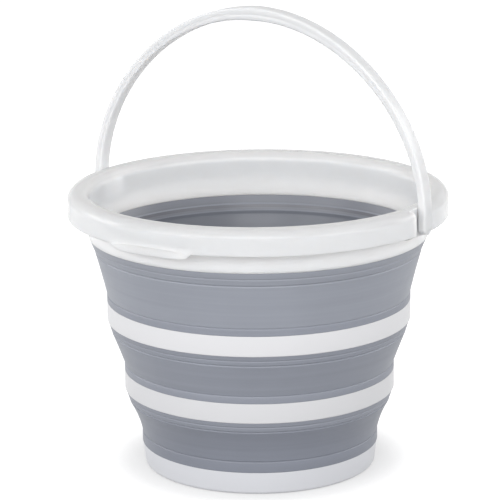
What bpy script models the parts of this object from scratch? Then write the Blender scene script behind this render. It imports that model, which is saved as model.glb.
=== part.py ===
"""Collapsible camp bucket, as a Blender model.

A round bucket of about ten litres. Rigid white rings are joined by soft grey walls that fold
inside out, so the rings drop over each other and the bucket packs down to a quarter of its
height. A white bail handle swings in two pockets in the rolled rim.

The bucket stands on the XY plane with its axis on Z. The handle turns about a line along X, and
the finger lip lies on the -Y side of the rim. Lengths are metres.
"""

from math import atan2, cos, hypot, pi, radians, sin

import bmesh
import bpy
from mathutils import Matrix, Vector

MM = 0.001

# General fits and walls
SEAT_GAP = 0.3 * MM
RIGID_WALL = 2.2 * MM
SLEEVE_WALL = 1.8 * MM
FOLD_WALL = 1.5 * MM
CREASE_DEPTH = 0.7 * MM
CREASE_HALF_WIDTH = 0.9 * MM
OVERRUN = 5.0 * MM
TURN_STEPS = 48
SMOOTH_ANGLE = radians(32.0)

# Base pan
BASE_TOP_RADIUS = 100.8 * MM
BASE_HEIGHT = 19.3 * MM
BASE_TAPER = 2.0 * MM
BASE_EDGE_RADIUS = 3.0 * MM
BASE_EDGE_STEPS = 3
BASE_BAND_WALL = 2.6 * MM
FOOT_WIDTH = 13.0 * MM
FOOT_HEIGHT = 2.0 * MM
FLOOR_THICKNESS = 2.6 * MM
FLOOR_FILLET = 2.5 * MM
BASE_TONGUE_LENGTH = 7.0 * MM

# Lower stage: the cuff on the base, the fold above it, and the ring that the fold carries
LOWER_CUFF_HEIGHT = 9.1 * MM
LOWER_FOLD_HEIGHT = 29.1 * MM
LOWER_FOLD_SPREAD = 10.5 * MM
LOWER_FOLD_BOW_SHARE = 0.5
LOWER_FOLD_STEPS = 4
LOWER_COLLAR_HEIGHT = 8.6 * MM
LOWER_COLLAR_SPREAD = 2.9 * MM
LOWER_RING_HEIGHT = 16.8 * MM

# Middle stage
MIDDLE_CUFF_HEIGHT = 6.3 * MM
MIDDLE_FOLD_HEIGHT = 28.8 * MM
MIDDLE_FOLD_SPREAD = 10.3 * MM
MIDDLE_FOLD_BOW_SHARE = 0.06
MIDDLE_FOLD_STEPS = 2
MIDDLE_COLLAR_HEIGHT = 8.8 * MM
MIDDLE_COLLAR_SPREAD = 2.8 * MM
UPPER_RING_HEIGHT = 17.1 * MM

# Upper stage, which carries the rim
UPPER_CUFF_HEIGHT = 6.3 * MM
UPPER_FOLD_HEIGHT = 37.8 * MM
UPPER_FOLD_SPREAD = 9.2 * MM
UPPER_FOLD_BOW_SHARE = 0.1
UPPER_FOLD_STEPS = 2
UPPER_COLLAR_HEIGHT = 11.9 * MM
UPPER_COLLAR_SPREAD = 4.9 * MM

# A second crease runs round each collar, at this share of its height
COLLAR_CREASE_SHARE = 0.52

# Rim
SKIRT_HEIGHT = 17.8 * MM
SKIRT_TAPER = 0.6 * MM
MOUTH_FLARE = 6.5 * MM
MOUTH_FLARE_DROP = 8.5 * MM
MOUTH_FLARE_STEPS = 3
CREST_WIDTH = 2.0 * MM
FLANGE_HEIGHT = 21.5 * MM
FLANGE_ROLL_RADIUS = 8.0 * MM
FLANGE_ROLL_STEPS = 3
FLANGE_LIP_CHAMFER = 0.5 * MM

# Handle
STRAP_STANDOUT = 0.5 * MM
HANDLE_RISE = 159.0 * MM
HANDLE_SHOULDER = 10.0 * MM
HANDLE_ARCH_FULLNESS_SHARE = 0.95
HANDLE_STEPS = 34
HANDLE_WIDTH = 13.8 * MM
HANDLE_EDGE_RADIUS = 1.1 * MM
STRAP_THICKNESS = 6.4 * MM
GRIP_THICKNESS = 11.0 * MM
STRAP_END_RADIUS = HANDLE_WIDTH / 2 + SEAT_GAP
STRAP_END_STEPS = 10
PIVOT_ABOVE_FLANGE_EDGE = 5.0 * MM
STUD_RADIUS = 3.6 * MM
STUD_LENGTH = 7.0 * MM
STUD_STEPS = 20
HANDLE_GROOVE_DEPTH = 1.3 * MM
HANDLE_GROOVE_WIDTH_SHARE = 0.34
HANDLE_GROOVE_START_ANGLE = radians(10.0)

# Handle pockets in the rim
STRAP_SIDE_GAP = 0.7 * MM
POCKET_SWING_ROOM = 11.4 * MM
POCKET_STOP_GAP = 0.9 * MM
POCKET_WEB = 3.0 * MM
POCKET_DROP = 3.5 * MM
POCKET_INSET = 0.1 * MM
POCKET_CORE_ROOF = 4.0 * MM
SOCKET_CLEARANCE = 0.3 * MM

# Finger lip under the flange
LIP_AZIMUTH = radians(-95.0)
LIP_HALF_LENGTH = 38.0 * MM
LIP_DROP = 6.2 * MM
LIP_THICKNESS = 5.6 * MM
LIP_ROOT = 5.0 * MM
LIP_STEPS = 12
SCOOP_RADIUS = 5.2 * MM
SCOOP_DEPTH = 2.3 * MM
SCOOP_RISE = 5.2 * MM
SCOOP_HALF_LENGTH = 32.0 * MM
SCOOP_STEPS = 16

# Colours as (red, green, blue), with roughness
WHITE_PLASTIC = ((0.78, 0.79, 0.81), 0.32)
GREY_RUBBER = ((0.30, 0.32, 0.36), 0.62)

# Heights above the floor, from the base up
LOWER_CUFF_TOP = BASE_HEIGHT + SEAT_GAP + LOWER_CUFF_HEIGHT
LOWER_COLLAR_BOTTOM = LOWER_CUFF_TOP + LOWER_FOLD_HEIGHT
LOWER_RING_BOTTOM = LOWER_COLLAR_BOTTOM + LOWER_COLLAR_HEIGHT
LOWER_RING_TOP = LOWER_RING_BOTTOM + LOWER_RING_HEIGHT
MIDDLE_CUFF_TOP = LOWER_RING_TOP + MIDDLE_CUFF_HEIGHT
MIDDLE_COLLAR_BOTTOM = MIDDLE_CUFF_TOP + MIDDLE_FOLD_HEIGHT
UPPER_RING_BOTTOM = MIDDLE_COLLAR_BOTTOM + MIDDLE_COLLAR_HEIGHT
UPPER_RING_TOP = UPPER_RING_BOTTOM + UPPER_RING_HEIGHT
UPPER_CUFF_TOP = UPPER_RING_TOP + UPPER_CUFF_HEIGHT
UPPER_COLLAR_BOTTOM = UPPER_CUFF_TOP + UPPER_FOLD_HEIGHT
SKIRT_BOTTOM = UPPER_COLLAR_BOTTOM + UPPER_COLLAR_HEIGHT
FLANGE_EDGE = SKIRT_BOTTOM + SKIRT_HEIGHT
RIM_TOP = FLANGE_EDGE + FLANGE_HEIGHT
ROLL_CENTRE_HEIGHT = RIM_TOP - FLANGE_ROLL_RADIUS

# Radii, from the base up. Each soft wall starts at the radius of the cuff below it
LOWER_CUFF_RADIUS = BASE_TOP_RADIUS + SEAT_GAP
LOWER_COLLAR_TOP_RADIUS = LOWER_CUFF_RADIUS + LOWER_FOLD_SPREAD + LOWER_COLLAR_SPREAD
LOWER_RING_RADIUS = LOWER_COLLAR_TOP_RADIUS + CREASE_DEPTH
MIDDLE_COLLAR_TOP_RADIUS = LOWER_RING_RADIUS + MIDDLE_FOLD_SPREAD + MIDDLE_COLLAR_SPREAD
UPPER_RING_RADIUS = MIDDLE_COLLAR_TOP_RADIUS + CREASE_DEPTH
UPPER_COLLAR_TOP_RADIUS = UPPER_RING_RADIUS + UPPER_FOLD_SPREAD + UPPER_COLLAR_SPREAD
SKIRT_RADIUS = UPPER_COLLAR_TOP_RADIUS + SEAT_GAP
SKIRT_INNER_RADIUS = SKIRT_RADIUS - RIGID_WALL
WALL_OUTER_RADIUS = SKIRT_RADIUS + SKIRT_TAPER
WALL_INNER_RADIUS = WALL_OUTER_RADIUS - RIGID_WALL
CREST_RADIUS = WALL_OUTER_RADIUS + MOUTH_FLARE
ROLL_CENTRE_RADIUS = CREST_RADIUS + CREST_WIDTH
FLANGE_RADIUS = ROLL_CENTRE_RADIUS + FLANGE_ROLL_RADIUS

# Handle and its pockets
PIVOT_HEIGHT = FLANGE_EDGE + PIVOT_ABOVE_FLANGE_EDGE
HANDLE_SPRING_LINE = PIVOT_HEIGHT + HANDLE_SHOULDER
HANDLE_HALF_SPAN = FLANGE_RADIUS + STRAP_STANDOUT
STRAP_INNER = HANDLE_HALF_SPAN - STRAP_THICKNESS
POCKET_FACE = STRAP_INNER - STRAP_SIDE_GAP
POCKET_FRONT = -HANDLE_WIDTH / 2 - POCKET_SWING_ROOM
POCKET_BACK = HANDLE_WIDTH / 2 + POCKET_STOP_GAP
POCKET_BOTTOM = FLANGE_EDGE - POCKET_DROP


def clear_scene():
    """Removes whatever the scene holds."""
    for old in list(bpy.data.objects):
        bpy.data.objects.remove(old, do_unlink=True)


def new_collection(name):
    collection = bpy.data.collections.new(name)
    bpy.context.scene.collection.children.link(collection)
    return collection


def plastic(name, look):
    """A Principled material with one colour and roughness."""
    colour, roughness = look
    material = bpy.data.materials.new(name)
    material.use_nodes = True
    shader = material.node_tree.nodes["Principled BSDF"]
    shader.inputs["Base Color"].default_value = (*colour, 1.0)
    shader.inputs["Roughness"].default_value = roughness
    shader.inputs["Metallic"].default_value = 0.0
    material.diffuse_color = (*colour, 1.0)
    return material


def mesh_object(name, mesh, collection, look=None):
    """Links a mesh to a collection, with a material of its own when it has a look."""
    item = bpy.data.objects.new(name, mesh)
    collection.objects.link(item)
    if look:
        mesh.materials.append(plastic(name, look))
    return item


def as_cutter(item):
    item.hide_render = True
    item.display_type = "WIRE"
    return item


def turned(name, profile, collection, look=None):
    """A turned solid. The profile is (radius, height) points that run down the outer side.

    A profile that starts and ends on the axis stays open there, and any other is a closed ring.
    """
    points = [(radius, 0.0, height) for radius, height in profile]
    edges = [(index, index + 1) for index in range(len(points) - 1)]
    if profile[0][0] > 0:
        edges.append((len(points) - 1, 0))
    mesh = bpy.data.meshes.new(name)
    mesh.from_pydata(points, edges, [])
    item = mesh_object(name, mesh, collection, look)
    screw = item.modifiers.new("Turn", "SCREW")
    screw.axis = "Z"
    screw.angle = 2 * pi
    screw.steps = TURN_STEPS
    screw.render_steps = TURN_STEPS
    screw.use_merge_vertices = True
    screw.merge_threshold = SEAT_GAP / 100
    return item


def block(name, low, high, collection):
    """A box between two opposite corners."""
    mesh = bpy.data.meshes.new(name)
    shape = bmesh.new()
    bmesh.ops.create_cube(shape, size=1.0)
    low = Vector(low)
    high = Vector(high)
    size = high - low
    bmesh.ops.scale(shape, vec=size, verts=shape.verts)
    bmesh.ops.translate(shape, vec=low + size / 2, verts=shape.verts)
    shape.to_mesh(mesh)
    shape.free()
    return as_cutter(mesh_object(name, mesh, collection))


def pin_along_x(name, radius, start, end, height, collection):
    """A round pin or bore along X, between two places on that axis."""
    mesh = bpy.data.meshes.new(name)
    shape = bmesh.new()
    middle = Matrix.Translation(((start + end) / 2, 0, height))
    bmesh.ops.create_cone(
        shape,
        cap_ends=True,
        segments=STUD_STEPS,
        radius1=radius,
        radius2=radius,
        depth=end - start,
        matrix=middle @ Matrix.Rotation(pi / 2, 4, "Y"),
    )
    shape.to_mesh(mesh)
    shape.free()
    return as_cutter(mesh_object(name, mesh, collection))


def mirrored_across_x(item):
    """Adds the same shape on the -X side."""
    mirror = item.modifiers.new("Other side", "MIRROR")
    mirror.use_axis = (True, False, False)
    mirror.merge_threshold = SEAT_GAP / 100
    return item


def as_mesh(item):
    """Replaces a curve object, or an object with modifiers, by the plain mesh that it makes."""
    bpy.context.view_layer.update()
    evaluated = item.evaluated_get(bpy.context.evaluated_depsgraph_get())
    mesh = bpy.data.meshes.new_from_object(evaluated)
    shape = bmesh.new()
    shape.from_mesh(mesh)
    bmesh.ops.remove_doubles(shape, verts=shape.verts, dist=SEAT_GAP / 100)
    bmesh.ops.recalc_face_normals(shape, faces=shape.faces)
    shape.to_mesh(mesh)
    shape.free()
    name = item.name
    place = item.matrix_world.copy()
    collection = item.users_collection[0]
    bpy.data.objects.remove(item, do_unlink=True)
    plain = bpy.data.objects.new(name, mesh)
    mesh.name = name
    collection.objects.link(plain)
    plain.matrix_world = place
    return plain


def flat_outline(name, outline, thickness, place, collection, edge_radius=0.0):
    """A plate with this outline in its own XY plane, centred on that plane, then placed."""
    curve = bpy.data.curves.new(name, "CURVE")
    curve.dimensions = "2D"
    curve.fill_mode = "BOTH"
    curve.extrude = thickness / 2 - edge_radius
    curve.bevel_depth = edge_radius
    curve.bevel_resolution = 1
    curve.offset = -edge_radius
    spline = curve.splines.new("POLY")
    spline.points.add(len(outline) - 1)
    for point, (across, up) in zip(spline.points, outline):
        point.co = (across, up, 0.0, 1.0)
    spline.use_cyclic_u = True
    item = bpy.data.objects.new(name, curve)
    collection.objects.link(item)
    item.matrix_world = place
    return as_mesh(item)


def combine(item, other, operation):
    """Adds a Boolean of item with another shape."""
    change = item.modifiers.new(other.name, "BOOLEAN")
    change.operation = operation
    change.solver = "EXACT"
    change.object = other


def settled(item):
    """Applies the modifiers and shades round faces smooth up to the edges."""
    materials = list(item.data.materials)
    plain = as_mesh(item)
    plain.data.materials.clear()
    for material in materials:
        plain.data.materials.append(material)
    plain.data.polygons.foreach_set("material_index", [0] * len(plain.data.polygons))
    plain.data.shade_smooth()
    plain.data.set_sharp_from_angle(angle=SMOOTH_ANGLE)
    return plain


def quarter_arc(centre, radius, start, end, steps):
    """Points round an arc, in angles from the outward radius towards up."""
    arc = []
    for step in range(steps + 1):
        angle = start + (end - start) * step / steps
        arc.append((centre[0] + radius * cos(angle), centre[1] + radius * sin(angle)))
    return arc


def base_profile():
    """The base pan: a band, a floor raised on a foot ring, and a rebate for the soft cuff."""
    inner = BASE_TOP_RADIUS - BASE_TAPER - BASE_BAND_WALL
    rebate = inner + SLEEVE_WALL + SEAT_GAP
    rebate_floor = BASE_HEIGHT - BASE_TONGUE_LENGTH - SEAT_GAP
    edge_centre = (BASE_TOP_RADIUS - BASE_TAPER - BASE_EDGE_RADIUS, BASE_EDGE_RADIUS)
    floor_top = FOOT_HEIGHT + FLOOR_THICKNESS
    foot_outer = edge_centre[0]
    foot_inner = foot_outer - FOOT_WIDTH
    edge = quarter_arc(edge_centre, BASE_EDGE_RADIUS, 0.0, -pi / 2, BASE_EDGE_STEPS)
    return [
        (0.0, floor_top),
        (inner - FLOOR_FILLET, floor_top),
        (inner, floor_top + FLOOR_FILLET),
        (inner, rebate_floor),
        (rebate, rebate_floor),
        (rebate, BASE_HEIGHT),
        (BASE_TOP_RADIUS, BASE_HEIGHT),
        *edge,
        (foot_inner, 0.0),
        (foot_inner - FOOT_HEIGHT, FOOT_HEIGHT),
        (0.0, FOOT_HEIGHT),
    ]


def base_sleeve_profile():
    """The soft cuff on the base, with the tongue that is moulded inside the band."""
    tongue_inner = BASE_TOP_RADIUS - BASE_TAPER - BASE_BAND_WALL
    tongue_outer = tongue_inner + SLEEVE_WALL
    foot = BASE_HEIGHT + SEAT_GAP
    cuff_inner = LOWER_CUFF_RADIUS - SLEEVE_WALL
    return [
        (cuff_inner, LOWER_CUFF_TOP),
        (LOWER_CUFF_RADIUS - CREASE_DEPTH, LOWER_CUFF_TOP),
        (LOWER_CUFF_RADIUS, LOWER_CUFF_TOP - CREASE_HALF_WIDTH),
        (LOWER_CUFF_RADIUS, foot),
        (tongue_outer, foot),
        (tongue_outer, BASE_HEIGHT - BASE_TONGUE_LENGTH),
        (tongue_inner, BASE_HEIGHT - BASE_TONGUE_LENGTH),
        (tongue_inner, foot),
        (cuff_inner, foot + SLEEVE_WALL),
    ]


def fold_profile(bottom, bottom_radius, height, spread, bow_share, steps):
    """A soft wall from one crease up to the next. A bow hollows its line towards the axis."""
    low = bottom + SEAT_GAP
    high = bottom + height - SEAT_GAP
    rise = high - low - 2 * CREASE_HALF_WIDTH
    wall = []
    for step in range(steps + 1):
        share = step / steps
        line = share - bow_share * share * (1 - share)
        wall.append((bottom_radius + spread * line, low + CREASE_HALF_WIDTH + rise * share))
    inner = [(radius - FOLD_WALL, level) for radius, level in wall[1:-1]]
    top_radius = bottom_radius + spread
    return [
        (top_radius - FOLD_WALL, high),
        (top_radius - CREASE_DEPTH, high),
        *reversed(wall),
        (bottom_radius - CREASE_DEPTH, low),
        (bottom_radius - FOLD_WALL, low),
        *inner,
    ]


def collar_side(bottom, height, top_radius, spread):
    """The outer side of a collar, from its top down to the crease, with its second crease."""
    bottom_radius = top_radius - spread
    crease = bottom + height * COLLAR_CREASE_SHARE
    side = [(top_radius, bottom + height - SEAT_GAP)]
    for rise in (CREASE_HALF_WIDTH, 0.0, -CREASE_HALF_WIDTH):
        share = (crease + rise - bottom) / height
        depth = 0.0 if rise else CREASE_DEPTH
        side.append((bottom_radius + spread * share - depth, crease + rise))
    side.append((bottom_radius + spread * CREASE_HALF_WIDTH / height, bottom + CREASE_HALF_WIDTH))
    side.append((bottom_radius - CREASE_DEPTH, bottom))
    side.append((bottom_radius - SLEEVE_WALL, bottom))
    return side


def ring_sleeve_profile(ring_radius, ring_bottom, ring_top, cuff_top, collar_height, collar_spread):
    """The soft sleeve of a ring: collar below, tongue behind the ring, cuff above."""
    tongue_outer = ring_radius - RIGID_WALL - SEAT_GAP
    tongue_inner = tongue_outer - SLEEVE_WALL
    cuff_foot = ring_top + SEAT_GAP
    cuff_inner = ring_radius - SLEEVE_WALL
    collar_bottom = ring_bottom - collar_height
    collar_top_radius = ring_radius - CREASE_DEPTH
    return [
        (cuff_inner, cuff_top),
        (ring_radius - CREASE_DEPTH, cuff_top),
        (ring_radius, cuff_top - CREASE_HALF_WIDTH),
        (ring_radius, cuff_foot),
        (tongue_outer, cuff_foot),
        (tongue_outer, ring_bottom - SEAT_GAP),
        *collar_side(collar_bottom, collar_height, collar_top_radius, collar_spread),
        (tongue_inner, ring_bottom),
        (tongue_inner, ring_top),
        (cuff_inner, cuff_foot + SLEEVE_WALL),
    ]


def ring_profile(radius, bottom, top):
    """A rigid ring with its lower outer edge broken."""
    edge = SLEEVE_WALL / 2
    return [
        (radius - RIGID_WALL, top),
        (radius, top),
        (radius, bottom + edge),
        (radius - edge, bottom),
        (radius - RIGID_WALL, bottom),
    ]


def mouth_flare():
    """The inside of the mouth, from the straight wall up to the crest of the rim."""
    flare = []
    for step in range(MOUTH_FLARE_STEPS + 1):
        angle = pi / 2 * step / MOUTH_FLARE_STEPS
        radius = WALL_INNER_RADIUS + MOUTH_FLARE * (1 - cos(angle))
        height = RIM_TOP - MOUTH_FLARE_DROP * (1 - sin(angle))
        flare.append((radius, height))
    return flare


def rim_profile():
    """The rim's wall: the skirt, the straight wall above it, and the flared mouth up to the crest."""
    return [
        (CREST_RADIUS, RIM_TOP),
        (CREST_RADIUS, RIM_TOP - RIGID_WALL),
        (WALL_OUTER_RADIUS, RIM_TOP - MOUTH_FLARE_DROP),
        (WALL_OUTER_RADIUS, FLANGE_EDGE),
        (SKIRT_RADIUS, SKIRT_BOTTOM),
        (SKIRT_INNER_RADIUS, SKIRT_BOTTOM),
        *mouth_flare(),
    ]


def flange_outside(inset):
    """The rolled outer side of the flange, from the crest to its vertical wall."""
    centre = (ROLL_CENTRE_RADIUS, ROLL_CENTRE_HEIGHT)
    return quarter_arc(centre, FLANGE_ROLL_RADIUS - inset, pi / 2, 0.0, FLANGE_ROLL_STEPS)


def flange_profile():
    """The rolled flange that runs on from the crest. It is hollow and open below."""
    return [
        (CREST_RADIUS + SEAT_GAP, RIM_TOP),
        *flange_outside(0.0),
        (FLANGE_RADIUS, FLANGE_EDGE + FLANGE_LIP_CHAMFER),
        (FLANGE_RADIUS - FLANGE_LIP_CHAMFER, FLANGE_EDGE),
        (FLANGE_RADIUS - RIGID_WALL, FLANGE_EDGE),
        *reversed(flange_outside(RIGID_WALL)),
        (CREST_RADIUS + SEAT_GAP, RIM_TOP - RIGID_WALL),
    ]


def pocket_body_profile():
    """The solid that the handle pockets are cut from. It lies just inside the flange's faces."""
    crest_side = CREST_RADIUS + SEAT_GAP + POCKET_INSET
    wall_side = WALL_OUTER_RADIUS + SEAT_GAP
    return [
        (crest_side, RIM_TOP - POCKET_INSET),
        *flange_outside(POCKET_INSET),
        (FLANGE_RADIUS - POCKET_INSET, POCKET_BOTTOM),
        (wall_side, POCKET_BOTTOM),
        (wall_side, RIM_TOP - MOUTH_FLARE_DROP - SEAT_GAP),
        (crest_side, RIM_TOP - RIGID_WALL - SEAT_GAP),
    ]


def make_pockets(flange, tools):
    """Gives the flange its two handle pockets, each with a boss and a blind socket."""
    body = as_cutter(turned("pocket_body", pocket_body_profile(), tools))
    reach = FLANGE_RADIUS + OVERRUN
    limits = block(
        "pocket_limits",
        (-reach, POCKET_FRONT - POCKET_WEB, POCKET_BOTTOM - OVERRUN),
        (reach, POCKET_BACK + POCKET_WEB, RIM_TOP + OVERRUN),
        tools,
    )
    combine(body, limits, "INTERSECT")
    combine(flange, body, "UNION")
    opening = block(
        "pocket_opening",
        (POCKET_FACE, POCKET_FRONT, POCKET_BOTTOM - OVERRUN),
        (reach, POCKET_BACK, RIM_TOP + OVERRUN),
        tools,
    )
    combine(flange, mirrored_across_x(opening), "DIFFERENCE")
    core = block(
        "pocket_core",
        (WALL_OUTER_RADIUS + RIGID_WALL, POCKET_FRONT + RIGID_WALL, POCKET_BOTTOM - OVERRUN),
        (POCKET_FACE - RIGID_WALL, -HANDLE_WIDTH / 2 - SEAT_GAP, RIM_TOP - POCKET_CORE_ROOF),
        tools,
    )
    combine(flange, mirrored_across_x(core), "DIFFERENCE")
    socket = pin_along_x(
        "stud_socket",
        STUD_RADIUS + SOCKET_CLEARANCE,
        STRAP_INNER - STUD_LENGTH - SOCKET_CLEARANCE,
        POCKET_FACE + OVERRUN,
        PIVOT_HEIGHT,
        tools,
    )
    combine(flange, mirrored_across_x(socket), "DIFFERENCE")


def lip_outline():
    """The finger lip seen square on: straight along its root, with a smile-shaped lower edge."""
    root = FLANGE_EDGE + LIP_ROOT
    outline = [(LIP_HALF_LENGTH, root), (-LIP_HALF_LENGTH, root)]
    for step in range(LIP_STEPS + 1):
        share = 2 * step / LIP_STEPS - 1
        rise = LIP_DROP * share**4
        outline.append((LIP_HALF_LENGTH * share, FLANGE_EDGE - LIP_DROP + rise))
    return outline


def make_finger_lip(flange, tools):
    """Hangs the finger lip under the flange and hollows its face for the fingertips."""
    outer = FLANGE_RADIUS - POCKET_INSET
    inner = outer - LIP_THICKNESS
    top = FLANGE_EDGE + LIP_ROOT
    bottom = FLANGE_EDGE - LIP_DROP - OVERRUN
    band_profile = [(inner, top), (outer, top), (outer, bottom), (inner, bottom)]
    band = as_cutter(turned("lip_band", band_profile, tools))
    towards_lip = Matrix.Rotation(LIP_AZIMUTH + pi / 2, 4, "Z")
    square_on = Matrix.Translation((0, -FLANGE_RADIUS, 0)) @ Matrix.Rotation(pi / 2, 4, "X")
    depth = 2 * (OVERRUN + LIP_THICKNESS)
    window = flat_outline("lip_window", lip_outline(), depth, towards_lip @ square_on, tools)
    combine(band, as_cutter(window), "INTERSECT")
    combine(flange, band, "UNION")

    scoop = bpy.data.curves.new("lip_scoop", "CURVE")
    scoop.dimensions = "3D"
    scoop.bevel_depth = SCOOP_RADIUS
    scoop.bevel_resolution = 3
    scoop.use_fill_caps = True
    path_radius = FLANGE_RADIUS + SCOOP_RADIUS - SCOOP_DEPTH
    spline = scoop.splines.new("POLY")
    spline.points.add(SCOOP_STEPS)
    for step, point in enumerate(spline.points):
        share = 2 * step / SCOOP_STEPS - 1
        angle = LIP_AZIMUTH + share * SCOOP_HALF_LENGTH / FLANGE_RADIUS
        height = FLANGE_EDGE - LIP_DROP + SCOOP_RISE
        point.co = (path_radius * cos(angle), path_radius * sin(angle), height, 1.0)
        point.radius = 1 - (SCOOP_DEPTH / SCOOP_RADIUS) * share**2
    item = bpy.data.objects.new("lip_scoop", scoop)
    tools.objects.link(item)
    combine(flange, as_cutter(as_mesh(item)), "DIFFERENCE")


def arch_point(angle):
    """A place on the outside of the handle's arch, in (across, up) from its spring line."""
    power = 1 / HANDLE_ARCH_FULLNESS_SHARE
    side = 1 if cos(angle) >= 0 else -1
    across = side * HANDLE_HALF_SPAN * abs(cos(angle)) ** power
    return across, HANDLE_RISE * abs(sin(angle)) ** power


def arch_inward(angle):
    """The direction square to the arch, towards its inside."""
    small = pi / 2000
    ahead = arch_point(min(angle + small, pi))
    behind = arch_point(max(angle - small, 0.0))
    run = ahead[0] - behind[0]
    climb = ahead[1] - behind[1]
    length = hypot(run, climb)
    return -climb / length, run / length


def arch_thickness(angle):
    """The handle grows from the strap's thickness to the grip's at the crown."""
    across, up = arch_point(angle)
    lean = atan2(up, abs(across)) / (pi / 2)
    return STRAP_THICKNESS + (GRIP_THICKNESS - STRAP_THICKNESS) * lean**2


def arch_line(depth_share, start=0.0):
    """A line along the arch, this share of the way from its outside to its inside."""
    line = []
    for step in range(HANDLE_STEPS + 1):
        angle = start + (pi - 2 * start) * step / HANDLE_STEPS
        across, up = arch_point(angle)
        inward, raised = arch_inward(angle)
        depth = arch_thickness(angle) * depth_share
        line.append((across + inward * depth, HANDLE_SPRING_LINE + up + raised * depth))
    return line


def make_handle(parts, tools):
    """The bail handle: an arch, a rounded strap at each end, and a stud on each strap."""
    outside = arch_line(0.0)
    inside = arch_line(1.0)
    strap_foot = PIVOT_HEIGHT - STRAP_END_RADIUS
    outline = [
        (HANDLE_HALF_SPAN, strap_foot),
        *outside,
        (-HANDLE_HALF_SPAN, strap_foot),
        (-STRAP_INNER, strap_foot),
        *reversed(inside),
        (STRAP_INNER, strap_foot),
    ]
    upright = Matrix.Rotation(pi / 2, 4, "X")
    handle = flat_outline("handle", outline, HANDLE_WIDTH, upright, parts, HANDLE_EDGE_RADIUS)
    handle.data.materials.append(plastic("handle", WHITE_PLASTIC))

    top = HANDLE_SPRING_LINE + HANDLE_RISE + OVERRUN
    mask = [(STRAP_END_RADIUS, top), (-STRAP_END_RADIUS, top)]
    for step in range(STRAP_END_STEPS + 1):
        angle = pi + pi * step / STRAP_END_STEPS
        mask.append((STRAP_END_RADIUS * cos(angle), PIVOT_HEIGHT + STRAP_END_RADIUS * sin(angle)))
    facing_x = Matrix.Rotation(pi / 2, 4, "Z") @ Matrix.Rotation(pi / 2, 4, "X")
    span = 2 * (HANDLE_HALF_SPAN + OVERRUN)
    strap_ends = flat_outline("strap_ends", mask, span, facing_x, tools)
    combine(handle, as_cutter(strap_ends), "INTERSECT")

    stud = pin_along_x(
        "stud",
        STUD_RADIUS,
        STRAP_INNER - STUD_LENGTH,
        STRAP_INNER + STRAP_THICKNESS / 2,
        PIVOT_HEIGHT,
        tools,
    )
    combine(handle, mirrored_across_x(stud), "UNION")

    half_groove = HANDLE_GROOVE_WIDTH_SHARE / 2
    outer_side = arch_line(1 / 2 - half_groove, HANDLE_GROOVE_START_ANGLE)
    inner_side = arch_line(1 / 2 + half_groove, HANDLE_GROOVE_START_ANGLE)
    groove = outer_side + list(reversed(inner_side))
    for side in (-1, 1):
        place = Matrix.Translation((0, side * HANDLE_WIDTH / 2, 0)) @ upright
        cutter = flat_outline(f"groove_{side}", groove, 2 * HANDLE_GROOVE_DEPTH, place, tools)
        combine(handle, as_cutter(cutter), "DIFFERENCE")


def on_axis(item, pivot):
    """Moves an object's origin to a pivot empty and leaves its shape where it is."""
    shift = Matrix.Translation(-pivot.location)
    item.data.transform(shift @ item.matrix_world)
    item.matrix_world = Matrix.Identity(4)
    item.parent = pivot


def body_empty(name, height, parent, collection):
    """An empty for what moves as one. Its place is given in world heights, also under a parent."""
    empty = bpy.data.objects.new(name, None)
    empty.location = (0, 0, height)
    collection.objects.link(empty)
    if parent:
        empty.parent = parent
        empty.matrix_parent_inverse = parent.matrix_world.inverted()
    bpy.context.view_layer.update()
    return empty


def make_base(parts):
    """The base pan, its cuff, and the first fold above it."""
    turned("base_pan", base_profile(), parts, WHITE_PLASTIC)
    turned("base_sleeve", base_sleeve_profile(), parts, GREY_RUBBER)
    fold = fold_profile(
        LOWER_CUFF_TOP,
        LOWER_CUFF_RADIUS,
        LOWER_FOLD_HEIGHT,
        LOWER_FOLD_SPREAD,
        LOWER_FOLD_BOW_SHARE,
        LOWER_FOLD_STEPS,
    )
    turned("lower_fold", fold, parts, GREY_RUBBER)


def make_lower_stage(parts):
    """The lower ring, its sleeve, and the fold above it."""
    ring = ring_profile(LOWER_RING_RADIUS, LOWER_RING_BOTTOM, LOWER_RING_TOP)
    turned("lower_ring", ring, parts, WHITE_PLASTIC)
    sleeve = ring_sleeve_profile(
        LOWER_RING_RADIUS,
        LOWER_RING_BOTTOM,
        LOWER_RING_TOP,
        MIDDLE_CUFF_TOP,
        LOWER_COLLAR_HEIGHT,
        LOWER_COLLAR_SPREAD,
    )
    turned("lower_sleeve", sleeve, parts, GREY_RUBBER)
    fold = fold_profile(
        MIDDLE_CUFF_TOP,
        LOWER_RING_RADIUS,
        MIDDLE_FOLD_HEIGHT,
        MIDDLE_FOLD_SPREAD,
        MIDDLE_FOLD_BOW_SHARE,
        MIDDLE_FOLD_STEPS,
    )
    turned("middle_fold", fold, parts, GREY_RUBBER)


def make_upper_stage(parts):
    """The upper ring, its sleeve, and the fold above it."""
    ring = ring_profile(UPPER_RING_RADIUS, UPPER_RING_BOTTOM, UPPER_RING_TOP)
    turned("upper_ring", ring, parts, WHITE_PLASTIC)
    sleeve = ring_sleeve_profile(
        UPPER_RING_RADIUS,
        UPPER_RING_BOTTOM,
        UPPER_RING_TOP,
        UPPER_CUFF_TOP,
        MIDDLE_COLLAR_HEIGHT,
        MIDDLE_COLLAR_SPREAD,
    )
    turned("upper_sleeve", sleeve, parts, GREY_RUBBER)
    fold = fold_profile(
        UPPER_CUFF_TOP,
        UPPER_RING_RADIUS,
        UPPER_FOLD_HEIGHT,
        UPPER_FOLD_SPREAD,
        UPPER_FOLD_BOW_SHARE,
        UPPER_FOLD_STEPS,
    )
    turned("upper_fold", fold, parts, GREY_RUBBER)


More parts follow.
